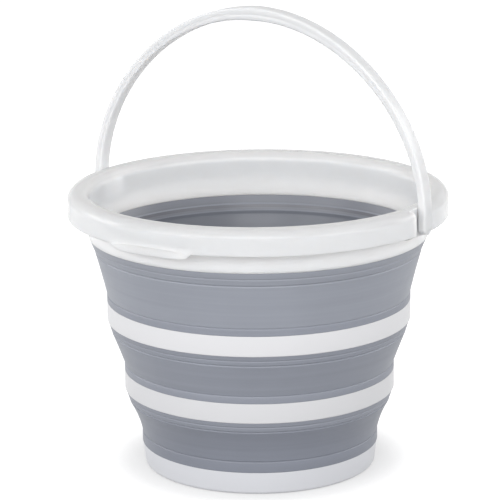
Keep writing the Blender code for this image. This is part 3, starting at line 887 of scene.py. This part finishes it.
@dataclass
class RingSleeve(Moulding):
    """The soft sleeve that holds a ring: collar below, tongue behind, cuff above."""

    band: Band = Band()
    cuff_top: float = 0.0
    collar_height: float = 0.0
    collar_spread: float = 0.0
    wall: float = 1.8 * MM
    gap: float = 0.3 * MM
    step_height: float = 2.1 * MM
    crease: Crease = Crease()

    def outline(self) -> list[Point]:
        """The cuff, the channel for the ring, the collar, and the inside."""
        ring, radius = self.band, self.band.radius
        tongue_outer = radius - ring.wall - self.gap / 2
        tongue_inner = radius - ring.wall - self.gap - self.wall
        collar = Collar(
            ring.bottom - self.collar_height, self.collar_height - PLAY,
            radius - self.crease.depth, self.collar_spread,
        )
        return rounded([
            (radius - self.wall, self.cuff_top),
            *self.crease.upper_half(radius, self.cuff_top),
            (radius, ring.top + PLAY, EDGE_FILLET),
            (tongue_outer, ring.top + PLAY, MEETING_FILLET),
            (tongue_outer, ring.bottom - PLAY, MEETING_FILLET),
            *collar.corners(),
            (tongue_inner, ring.bottom, BEND_FILLET),
            (tongue_inner, ring.top, BEND_FILLET),
            (radius - self.wall, ring.top + self.step_height, BEND_FILLET),
        ])


@dataclass
class Ring(Moulding):
    """A white ring that the wall folds over."""

    band: Band = Band()
    bottom_fillet: float = 0.9 * MM

    def outline(self) -> list[Point]:
        """A plain band with soft edges, rounder below."""
        outer, inner = self.band.radius, self.band.radius - self.band.wall
        return rounded([
            (inner, self.band.top, FINE_FILLET),
            (outer, self.band.top, SEEN_FILLET),
            (outer, self.band.bottom, self.bottom_fillet),
            (inner, self.band.bottom, EDGE_FILLET),
        ])


@dataclass
class RimSleeve(Moulding):
    """The soft collar that hangs under the rim."""

    top_radius: float = 143.1 * MM
    bottom: float = 188.3 * MM
    top: float = 200.2 * MM
    spread: float = 4.9 * MM
    wall: float = 1.8 * MM
    bead: Bead = Bead()
    bead_share: float = 0.36

    def outline(self) -> list[Point]:
        """The collar's outside, and its inside with a bead near the crease."""
        height, bead = self.top - self.bottom - PLAY, self.bead
        collar = Collar(self.bottom, height, self.top_radius, self.spread)
        low, lean = self.top_radius - self.spread - self.wall, self.spread / height
        corners = [(low + self.spread, self.bottom + height, FINE_FILLET), *collar.corners()]
        for rise, depth in ((-bead.lower_side, 0.0), (0.0, bead.depth), (bead.upper_side, 0.0)):
            level = height * self.bead_share + rise
            corners.append((low + lean * level - depth, self.bottom + level, bead.fillet))
        return rounded(corners)


@dataclass
class Rim(Moulding):
    """The white rim: skirt, wall, flared mouth and rolled flange with pockets and finger lip."""

    skirt_radius: float = 143.4 * MM
    skirt_bottom: float = 200.2 * MM
    wall_radius: float = 144.0 * MM
    wall: float = 2.2 * MM
    flange_radius: float = 160.5 * MM
    flange_edge: float = 218.0 * MM
    top: float = 239.5 * MM
    flare: float = 6.5 * MM
    flare_drop: float = 8.5 * MM
    flare_steps: int = 12
    roll: float = 8.0 * MM
    outer_roll_steps: int = 14
    inner_roll_steps: int = 10
    edge_fillet: float = 0.7 * MM
    hidden_edge_fillet: float = 0.4 * MM
    roof_fillet: float = 1.0 * MM
    flare_fillet: float = 2.0 * MM
    pivot_height: float = 223.0 * MM
    pocket_face: float = 153.9 * MM
    pocket_front: float = -18.3 * MM
    pocket_back: float = 7.8 * MM
    pocket_bottom: float = 214.5 * MM
    pocket_corner: float = 5.0 * MM
    pocket_steps: int = 8
    web: float = 3.0 * MM
    web_rise: float = 0.5 * MM
    core_roof: float = 4.0 * MM
    core_back: float = -7.2 * MM
    stud_bore: float = 3.9 * MM
    stud_depth: float = 147.3 * MM
    inset: float = 0.1 * MM
    overrun: float = 5.0 * MM
    sliver: float = 0.02 * MM
    sharp_angle: float = radians(30.0)
    lip_azimuth: float = radians(-93.4)
    lip_half_length: float = 40.0 * MM
    lip_squareness: float = 9.0
    lip_drop: float = 5.4 * MM
    lip_thickness: float = 5.6 * MM
    lip_root: float = 5.0 * MM
    lip_edge: float = 1.2 * MM
    lip_edge_steps: int = 6
    lip_stations: int = 64
    scoop_depth: float = 2.6 * MM
    scoop_rise: float = 3.2 * MM
    scoop_start: float = 0.4 * MM
    scoop_fullness: float = 0.7
    scoop_half_length: float = 37.5 * MM
    cove: tuple[Point, ...] = (
        (0.0, 0.0), (0.06, 0.17), (0.14, 0.35), (0.26, 0.54), (0.4, 0.71), (0.56, 0.84),
        (0.75, 0.94), (0.9, 1.0), (0.97, 1.1), (1.0, 1.3), (1.03, 1.6),
    )

    def rolled(self, inset: float, steps: int) -> list[Point]:
        """The rolled outside, from the crest to the flange's vertical wall."""
        centre = (self.flange_radius - self.roll, self.top - self.roll)
        return arc(centre, self.roll - inset, pi / 2, 0.0, steps)

    def outline(self) -> list[Point]:
        """From the crest out over the roll, back under it, and down and up the wall."""
        outside = self.rolled(0.0, self.outer_roll_steps)
        inside = reversed(self.rolled(self.wall, self.inner_roll_steps))
        mouth = []
        for step in range(self.flare_steps + 1):
            angle = pi / 2 * step / self.flare_steps
            mouth.append((
                self.wall_radius - self.wall + self.flare * (1 - cos(angle)),
                self.top - self.flare_drop * (1 - sin(angle)),
            ))
        return rounded([
            *outside,
            (self.flange_radius, self.flange_edge, self.edge_fillet),
            (self.flange_radius - self.wall, self.flange_edge, self.hidden_edge_fillet),
            *inside,
            (self.wall_radius + self.flare, self.top - self.wall, self.roof_fillet),
            (self.wall_radius, self.top - self.flare_drop, self.flare_fillet),
            (self.wall_radius, self.flange_edge),
            (self.skirt_radius, self.skirt_bottom, self.edge_fillet),
            (self.skirt_radius - self.wall, self.skirt_bottom, self.edge_fillet),
            *mouth,
        ])

    def build(self, lathe: TurningTree, finish: Material) -> Item:
        """Turns the rim, then adds its pockets and its finger lip.

        Args:
            lathe: The tree that turns the outlines.
            finish: The rim's material.

        Returns:
            The rim.
        """
        rim = super().build(lathe, finish)
        reach, below = self.flange_radius + self.overrun, self.pocket_bottom - self.overrun
        for side in (-1, 1):
            body = lathe.turn(f"pocket_body_{side}", self.pocket_outline(), finish, self.segments)
            limits = box_between(
                (0, self.pocket_front - self.web, below),
                (side * reach, self.pocket_back + self.web, self.top + self.overrun),
            )
            core = box_between(
                (side * (self.wall_radius + self.wall), self.pocket_front + self.wall, below),
                (side * (self.pocket_face - self.wall), self.core_back, self.top - self.core_roof),
            )
            bore = pin_along_x(
                self.stud_bore, side * self.stud_depth, side * (self.pocket_face + self.overrun),
                self.pivot_height,
            )
            rim = combined(rim, combined(body, limits, Cut.KEEP_COMMON), Cut.JOIN)
            for hollow in (self.pocket_opening(side), core, bore):
                rim = combined(rim, hollow, Cut.TAKE_AWAY)
        rim = combined(rim, self.finger_lip(finish), Cut.JOIN)
        rim = combined(rim, self.scoop(), Cut.TAKE_AWAY)
        rim.name = rim.data.name = self.name
        return smoothed(rim, self.sharp_angle)

    def pocket_opening(self, side: int) -> Item:
        """The room that a strap swings in, as a block with a rounded upper front corner.

        Args:
            side: -1 or 1, the side along X.

        Returns:
            The block to cut with.
        """
        low, high = self.pocket_bottom - self.overrun, self.top + self.overrun
        front, back, corner = self.pocket_front, self.pocket_back, self.pocket_corner
        centre = (front - corner, self.top - corner)
        outline = [
            (front, low), *arc(centre, corner, 0.0, pi / 2, self.pocket_steps),
            (front - corner, high), (back, high), (back, low),
        ]
        ends = (self.pocket_face, self.flange_radius + self.overrun)
        return lofted("pocket_opening", [[(side * x, y, z) for y, z in outline] for x in ends])

    def pocket_outline(self) -> list[Point]:
        """The solid that a pocket is cut from, just inside the rim's own faces."""
        wall_middle = self.wall_radius - self.wall / 2
        return [
            *self.rolled(self.inset, self.pocket_steps),
            (self.flange_radius - self.inset, self.flange_edge + self.web_rise),
            (self.pocket_face, self.pocket_bottom),
            (wall_middle, self.pocket_bottom),
            (wall_middle, self.top - self.flare_drop),
            (self.wall_radius + self.flare / 2, self.top - self.wall),
            (self.wall_radius + self.flare, self.top - self.inset),
        ]

    def lip_sweep(self, half_length: float) -> list[Point]:
        """Stations along the lip, as (share of the way to its end, azimuth), close at the ends.

        Args:
            half_length: Half the lip's length round the flange.

        Returns:
            The stations from one end to the other.
        """
        count = self.lip_stations
        shares = [sin(pi / 2 * (2 * step / count - 1)) for step in range(count + 1)]
        return [(share, self.lip_azimuth + share * half_length / self.flange_radius)
                for share in shares]

    def finger_lip(self, finish: Material) -> Item:
        """The lip as a curved bar under the flange, with a soft lower edge.

        Args:
            finish: The rim's material.

        Returns:
            The lip, ready to be joined to the rim.
        """
        outer, top = self.flange_radius - self.inset, self.flange_edge + self.lip_root
        inner = outer - self.lip_thickness
        sections = []
        for share, azimuth in self.lip_sweep(self.lip_half_length):
            drop = self.lip_drop * (1 - abs(share) ** self.lip_squareness)
            bottom = self.flange_edge - max(drop, self.sliver)
            edge = min(self.lip_edge, (top - bottom) / 3)
            ring = [(inner, top), (outer, top)]
            for radius, start in ((outer - edge, 0.0), (inner + edge, -pi / 2)):
                centre = (radius, bottom + edge)
                ring += arc(centre, edge, start, start - pi / 2, self.lip_edge_steps)
            sections.append(at_azimuth(ring, azimuth))
        lip = lofted("finger_lip", sections)
        lip.data.materials.append(finish)
        return lip

    def scoop(self) -> Item:
        """The cove under the lip's face that the fingertips curl into, as a bar to cut with."""
        reach, low = self.flange_radius + self.overrun, self.flange_edge - self.lip_drop
        sections = []
        for share, azimuth in self.lip_sweep(self.scoop_half_length):
            swell = max(1 - share**2, 0.0) ** self.scoop_fullness
            top = self.flange_edge + self.scoop_rise * swell - self.scoop_start
            depth = self.scoop_depth * swell + self.sliver
            ring = [(reach, top)]
            for down, inwards in self.cove:
                ring.append((self.flange_radius - depth * inwards, top + (low - top) * down))
            ring.append((reach, ring[-1][1]))
            sections.append(at_azimuth(ring, azimuth))
        return lofted("scoop", sections)


@dataclass
class Bail(Moulding):
    """The white handle: an arch, a flat strap at each end, and a stud inside each strap."""

    half_span: float = 161.0 * MM
    rise: float = 159.0 * MM
    spring_line: float = 233.0 * MM
    fullness: float = 0.95
    width: float = 13.8 * MM
    strap_thickness: float = 6.4 * MM
    grip_thickness: float = 11.0 * MM
    edge: float = 1.4 * MM
    edge_share: float = 0.9
    edge_steps: int = 5
    pivot_height: float = 223.0 * MM
    end_radius: float = 7.2 * MM
    end_steps: int = 14
    stud_radius: float = 3.6 * MM
    stud_length: float = 7.0 * MM
    groove_depth: float = 0.42 * MM
    groove_blend: float = 1.2 * MM
    blend_limit: float = 2.2
    groove_start: float = radians(10.0)
    groove_run: float = radians(3.0)
    groove_share_low: float = 0.36
    groove_share_high: float = 0.16
    stations: int = 320

    def arch_point(self, angle: float) -> Point:
        """A place on the arch's outside, in (across, height).

        Args:
            angle: From one end of the arch, 0, over the crown to the other, pi.

        Returns:
            The place.
        """
        power = 1 / self.fullness
        side = 1 if cos(angle) >= 0 else -1
        across = side * self.half_span * abs(cos(angle)) ** power
        return across, self.spring_line + self.rise * abs(sin(angle)) ** power

    def inward(self, angle: float) -> Point:
        """The direction square to the arch, towards its inside.

        Args:
            angle: The same angle as for arch_point.

        Returns:
            The direction, in (across, height).
        """
        small = pi / 2000
        ahead = self.arch_point(min(angle + small, pi))
        behind = self.arch_point(max(angle - small, 0.0))
        run, climb = ahead[0] - behind[0], ahead[1] - behind[1]
        length = hypot(run, climb)
        return -climb / length, run / length

    def section(self, thickness: float, width: float, groove: float, depth: float) -> list[Point]:
        """One cross-section, as (depth from the outside, across the width) points.

        Args:
            thickness: From the outside to the inside.
            width: Across the handle.
            groove: The share of the thickness that the side groove takes.
            depth: How deep the groove is here.

        Returns:
            A closed ring with the same number of points for every section.
        """
        half = width / 2
        edge = min(self.edge, thickness / 3, half * self.edge_share)
        low, high = thickness * (0.5 - groove / 2), thickness * (0.5 + groove / 2)
        blend = min(self.groove_blend, (high - low) / self.blend_limit) / 2
        side = [
            *arc((edge, half - edge), edge, pi, pi / 2, self.edge_steps),
            (low - blend, half),
            (low + blend, half - depth),
            (high - blend, half - depth),
            (high + blend, half),
            *arc((thickness - edge, half - edge), edge, pi / 2, 0.0, self.edge_steps),
        ]
        return side + [(d, -y) for d, y in reversed(side)]

    def strap_section(self, side: int, level: float, half_width: float) -> list[Place]:
        """The cross-section of one side's strap at a level."""
        ring = self.section(self.strap_thickness, 2 * half_width, self.groove_share_low, 0.0)
        return [(side * (self.half_span - d), y, level) for d, y in ring]

    def arch_section(self, angle: float) -> list[Place]:
        """The cross-section at an angle along the arch, which is thickest at the crown.

        Args:
            angle: The same angle as for arch_point.

        Returns:
            A closed ring of points.
        """
        (across, height), (inward_x, inward_z) = self.arch_point(angle), self.inward(angle)
        lean = atan2(height - self.spring_line, abs(across)) / (pi / 2)
        thickness = self.strap_thickness + (self.grip_thickness - self.strap_thickness) * lean**2
        groove = self.groove_share_low + (self.groove_share_high - self.groove_share_low) * lean
        from_start = min(angle, pi - angle) - self.groove_start
        depth = self.groove_depth * min(max(from_start / self.groove_run, 0.0), 1.0)
        ring = self.section(thickness, self.width, groove, depth)
        return [(across + inward_x * d, y, height + inward_z * d) for d, y in ring]

    def build(self, lathe: TurningTree, finish: Material) -> Item:
        """Lofts the handle from one strap's foot over the arch to the other's.

        Args:
            lathe: Not needed here, because nothing is turned.
            finish: The handle's material.

        Returns:
            The handle.
        """
        strap = []
        for step in range(1, self.end_steps + 1):
            angle = pi / 2 * step / self.end_steps
            level = self.pivot_height - self.end_radius * cos(angle)
            strap.append((level, min(self.end_radius * sin(angle), self.width / 2)))
        middle = self.pivot_height + (self.spring_line - self.pivot_height) / 2
        strap.append((middle, self.width / 2))
        angles = [pi * step / self.stations for step in range(self.stations + 1)]
        bail = lofted(self.name, [
            *(self.strap_section(1, *place) for place in strap),
            *(self.arch_section(angle) for angle in angles),
            *(self.strap_section(-1, *place) for place in reversed(strap)),
        ])
        bail.data.materials.append(finish)
        strap_inner = self.half_span - self.strap_thickness
        for side in (-1, 1):
            stud = pin_along_x(
                self.stud_radius, side * (strap_inner - self.stud_length),
                side * (strap_inner + self.strap_thickness / 2), self.pivot_height,
            )
            bail = combined(bail, stud, Cut.JOIN)
        bail.name = bail.data.name = self.name
        return smoothed(bail)


def bucket() -> list[Moulding]:
    """The bucket's mouldings, from the floor up."""
    lower = Band(radius=115.2 * MM, bottom=66.4 * MM, top=83.2 * MM)
    upper = Band(radius=129.0 * MM, bottom=127.1 * MM, top=144.2 * MM)
    return [
        BasePan("base_pan_skin", Body.BASE, ("base_pan",), BASE_WHITE),
        BaseCuff("base_cuff_skin", Body.BASE, ("base_sleeve",), LOWER_GREY),
        Fold("lower_fold_skin", Body.BASE, ("lower_fold",), LOWER_GREY, above=Body.LOWER,
             bottom=28.7 * MM, top=57.8 * MM, bottom_radius=101.1 * MM, spread=10.5 * MM, bow=0.5),
        Ring("lower_ring_skin", Body.LOWER, ("lower_ring",), LOWER_RING_WHITE, band=lower),
        RingSleeve("lower_sleeve_skin", Body.LOWER, ("lower_sleeve",), GREY, band=lower,
                   cuff_top=89.5 * MM, collar_height=8.6 * MM, collar_spread=2.9 * MM),
        Fold("middle_fold_skin", Body.LOWER, ("middle_fold",), GREY, above=Body.UPPER,
             bottom=89.5 * MM, top=118.3 * MM, bottom_radius=lower.radius, spread=10.3 * MM,
             bow=0.06),
        Ring("upper_ring_skin", Body.UPPER, ("upper_ring",), UPPER_RING_WHITE, band=upper),
        RingSleeve("upper_sleeve_skin", Body.UPPER, ("upper_sleeve",), GREY, band=upper,
                   cuff_top=150.5 * MM, collar_height=8.8 * MM, collar_spread=2.8 * MM),
        Fold("upper_fold_skin", Body.UPPER, ("upper_fold",), UPPER_GREY, above=Body.RIM,
             bottom=150.5 * MM, top=188.3 * MM, bottom_radius=upper.radius, spread=9.2 * MM,
             bow=0.1),
        RimSleeve("rim_collar_skin", Body.RIM, ("rim_sleeve",), COLLAR_GREY),
        Rim("rim_skin", Body.RIM, ("rim", "rim_flange"), RIM_WHITE),
        Bail("handle_skin", Body.BAIL, ("handle",), HANDLE_WHITE),
    ]


@dataclass(frozen=True)
class Softbox:
    """A rectangular studio lamp that looks at the bucket."""

    name: str
    azimuth: float
    elevation: float
    width: float
    height: float
    power: float
    distance: float = 4.0

    def place(self, target: Vector) -> None:
        """Adds the lamp. Azimuth 0 stands on the -Y side, and it grows towards +X.

        Args:
            target: The place that it looks at.
        """
        lamp = bpy.data.lights.new(self.name, "AREA")
        lamp.shape = "RECTANGLE"
        lamp.size, lamp.size_y = self.width, self.height
        lamp.energy = self.power
        item = linked(self.name, lamp)
        side, rise = radians(self.azimuth), radians(self.elevation)
        away = Vector((sin(side) * cos(rise), -cos(side) * cos(rise), sin(rise)))
        item.location = target + away * self.distance
        item.rotation_euler = (-away).to_track_quat("-Z", "Y").to_euler()


@dataclass(frozen=True)
class Studio:
    """The white room: a pale floor, soft lamps, a bright world and the camera."""

    world_zenith: float = 0.0
    world_horizon: float = 1.6
    floor_size: float = 12.0
    floor_drop: float = 0.2 * MM
    floor_colour: Colour = (0.40, 0.40, 0.403)
    mottle_scale: float = 3.0
    mottle_tone: float = 1.01
    # The floor's glow is lower near the bucket, between the two edges: a painted shadow round it.
    floor_glow: Point = (0.46, 0.82)
    painted_shadow_edges: Point = (0.095, 0.145)
    lamp_target: Place = (0.0, 0.0, 0.18)
    camera_azimuth: float = 30.5
    camera_distance: float = 2140.3 * MM
    camera_height: float = 717.4 * MM
    camera_pitch: float = 13.987
    camera_yaw: float = -0.189
    camera_roll: float = -0.568
    sensor_width: float = 36.0
    focal_pixels: float = 2600.0
    image_pixels: float = 500.0
    lamps: tuple[Softbox, ...] = (
        Softbox("front_lamp", 30.0, 24.0, 2.8, 1.4, 64.0),
        Softbox("key_lamp", -18.0, 22.0, 2.4, 1.1, 45.0),
        Softbox("side_lamp", 78.0, 16.0, 2.2, 1.3, 24.0),
        Softbox("left_lamp", -75.0, 16.0, 2.2, 1.3, 29.0),
        Softbox("back_right_lamp", 140.0, 20.0, 2.2, 1.3, 31.0),
    )

    def seen(self, graph: Graph) -> Socket:
        """Tells the rays that see a surface, also in a reflection, from those that light others.

        Args:
            graph: The graph of a material or a world.

        Returns:
            1 for such rays and 0 for the others, as a Socket.
        """
        path = graph.add("ShaderNodeLightPath")
        camera, glossy, clear = (
            Socket(graph, path.outputs[f"Is {ray} Ray"]) for ray in ("Camera", "Glossy", "Transmission")
        )
        return graph.math("CEIL", camera + glossy + clear)

    def build_world(self) -> None:
        """A plain world: white to look at, and a softer light on the bucket."""
        world = bpy.data.worlds.new("white_room")
        bpy.context.scene.world = world
        world.use_nodes = True
        graph = Graph(world.node_tree)
        background = world.node_tree.nodes["Background"]
        background.inputs["Color"].default_value = opaque((1.0, 1.0, 1.0))
        way = graph.add("ShaderNodeTexCoord", output="Generated")
        rise = graph.math("MAXIMUM", graph.coordinate(way, "Z"), 0.0)
        light = self.world_horizon - rise * (self.world_horizon - self.world_zenith)
        seen = self.seen(graph)
        strength = seen + (1 - seen) * light
        world.node_tree.links.new(strength.socket, background.inputs["Strength"])

    def build_floor(self) -> None:
        """A wide pale floor that keeps the bucket's shadow, with a painted shadow round the bucket where
        its glow drops.
        """
        shape = bmesh.new()
        bmesh.ops.create_grid(shape, x_segments=1, y_segments=1, size=self.floor_size / 2)
        bmesh.ops.translate(shape, vec=(0, 0, -self.floor_drop), verts=shape.verts)
        floor = from_shape("studio_floor", shape)
        material = bpy.data.materials.new("floor_paper")
        material.use_nodes = True
        tree = material.node_tree
        graph = Graph(tree)
        tree.nodes.remove(tree.nodes["Principled BSDF"])
        where = graph.add("ShaderNodeTexCoord", output="Object")
        mottle = graph.noise(where, self.mottle_scale, detail=2.0)
        pale = opaque(self.floor_colour, self.mottle_tone)
        colour = graph.mixed(mottle, opaque(self.floor_colour), pale)
        paper = graph.add("ShaderNodeBsdfDiffuse", {"Color": colour}, "BSDF")
        away = graph.add("ShaderNodeVectorMath", {0: where}, "Value", operation="LENGTH")
        # Less glow near the bucket: a painted shadow.
        level = graph.ramp(away, self.painted_shadow_edges, self.floor_glow, "SMOOTHSTEP")
        shine = {"Color": opaque((1.0, 1.0, 1.0)), "Strength": self.seen(graph) * level}
        glow = graph.add("ShaderNodeEmission", shine, "Emission")
        both = graph.add("ShaderNodeAddShader", {0: paper, 1: glow}, "Shader")
        tree.links.new(both.socket, tree.nodes["Material Output"].inputs["Surface"])
        floor.data.materials.append(material)

    def build_camera(self) -> None:
        """The camera at the photograph's place, with its long lens."""
        pitch, yaw, roll = map(radians, (self.camera_pitch, self.camera_yaw, self.camera_roll))
        ahead = Vector((sin(yaw) * cos(pitch), cos(yaw) * cos(pitch), -sin(pitch)))
        right = Vector((cos(yaw), -sin(yaw), 0.0))
        up = right.cross(ahead)
        level = cos(roll) * right + sin(roll) * up
        upright = -sin(roll) * right + cos(roll) * up
        turn = Matrix((level, upright, -ahead)).transposed().to_4x4()
        place = Matrix.Translation((0.0, -self.camera_distance, self.camera_height))
        data = bpy.data.cameras.new("photo_camera")
        data.sensor_width = self.sensor_width
        data.lens = self.focal_pixels * self.sensor_width / self.image_pixels
        camera = linked("photo_camera", data)
        camera.matrix_world = Matrix.Rotation(radians(self.camera_azimuth), 4, "Z") @ place @ turn
        bpy.context.scene.camera = camera

    def build(self) -> None:
        """Sets up the whole room."""
        self.build_world()
        self.build_floor()
        for lamp in self.lamps:
            lamp.place(Vector(self.lamp_target))
        self.build_camera()
        bpy.context.scene.view_settings.view_transform = "Standard"


def main() -> None:
    """Builds the finishes, each moulding and the studio, in order."""
    logging.basicConfig(level=logging.INFO, format="%(name)s: %(message)s")
    lathe = TurningTree()
    materials: dict[str, Material] = {}
    for moulding in bucket():
        finish = moulding.finish
        if finish.name not in materials:
            materials[finish.name] = finish.material()
        item = moulding.build(lathe, materials[finish.name])
        moulding.dress(item)
        low, high = (Vector(corner) / MM for corner in (item.bound_box[0], item.bound_box[6]))
        LOG.info(
            "%s: %d faces, %.1f to %.1f mm high, %.1f mm wide", item.name,
            len(item.data.polygons), low.z, high.z, high.x - low.x,
        )
    Studio().build()


if __name__ == "__main__":
    main()
